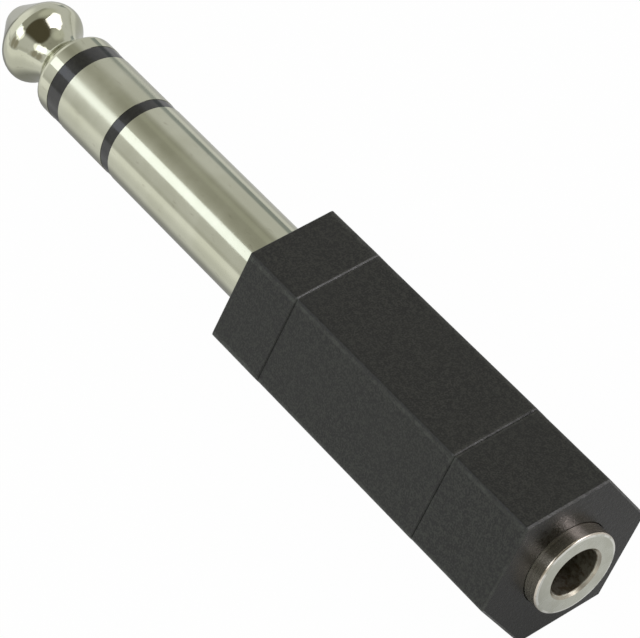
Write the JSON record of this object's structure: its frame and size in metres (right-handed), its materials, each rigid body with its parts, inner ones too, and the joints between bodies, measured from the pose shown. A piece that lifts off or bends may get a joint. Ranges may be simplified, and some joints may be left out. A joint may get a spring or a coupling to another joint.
{
  "type": "audio jack adapter",
  "caption": "Headphone adapter: a large stereo plug at one end and a small stereo socket with a metal nose at the other end of a hexagonal black shell.",
  "frame": {"origin": "on the plug's axis, in the plane of the shell's front face, which is the shoulder that the plug seats on", "axes": "+X along the plug's axis from the tip towards the socket; +Z square to an upper flat of the hexagonal shell, so the adapter lies on the opposite flat; +Y completes a right-handed frame"},
  "size_m": [0.0623, 0.0128, 0.0112],
  "materials": {
    "shell_plastic": "matte",
    "bright_nickel": "polished",
    "satin_nickel": "satin",
    "band_plastic": "gloss",
    "frame_plastic": "matte",
    "washer_fibre": "matte",
    "tinned_brass": "satin",
    "spring_bronze": "satin",
    "copper_wire": "satin",
    "jacket_white": "satin",
    "jacket_red": "satin",
    "jacket_black": "satin",
    "solder": "satin"
  },
  "bodies": {
    "adapter": {"front_cap": "shell_plastic", "barrel": "shell_plastic", "rear_cap": "shell_plastic", "tip_contact": "bright_nickel", "tip_insulator": "band_plastic", "ring_contact": "bright_nickel", "ring_insulator": "band_plastic", "sleeve_contact": "bright_nickel", "sleeve_terminal": "tinned_brass", "ring_washer": "washer_fibre", "ring_terminal": "tinned_brass", "tip_washer": "washer_fibre", "tip_terminal": "tinned_brass", "socket_bushing": "satin_nickel", "socket_sleeve_tag": "tinned_brass", "socket_frame": "frame_plastic", "tip_lead_wire": "copper_wire", "tip_lead_jacket": "jacket_white", "ring_lead_wire": "copper_wire", "ring_lead_jacket": "jacket_red", "sleeve_lead_wire": "copper_wire", "sleeve_lead_jacket": "jacket_black", "plug_solder": "solder", "socket_solder": "solder"},
    "tip_spring": {"socket_tip_spring": "spring_bronze"},
    "ring_spring": {"socket_ring_spring": "spring_bronze"}
  },
  "joints": [
    {"name": "tip_spring_flex", "type": "hinge", "parent": "adapter", "child": "tip_spring", "pos_m": [0.01115, 0, -0.00258], "axis": [0, 1, 0], "range_deg": [0, 4.4], "stiffness_Nm_per_rad": 0.134},
    {"name": "ring_spring_flex", "type": "hinge", "parent": "adapter", "child": "ring_spring", "pos_m": [0.01115, 0, 0.00258], "axis": [0, -1, 0], "range_deg": [0, 3], "stiffness_Nm_per_rad": 0.302}
  ]
}
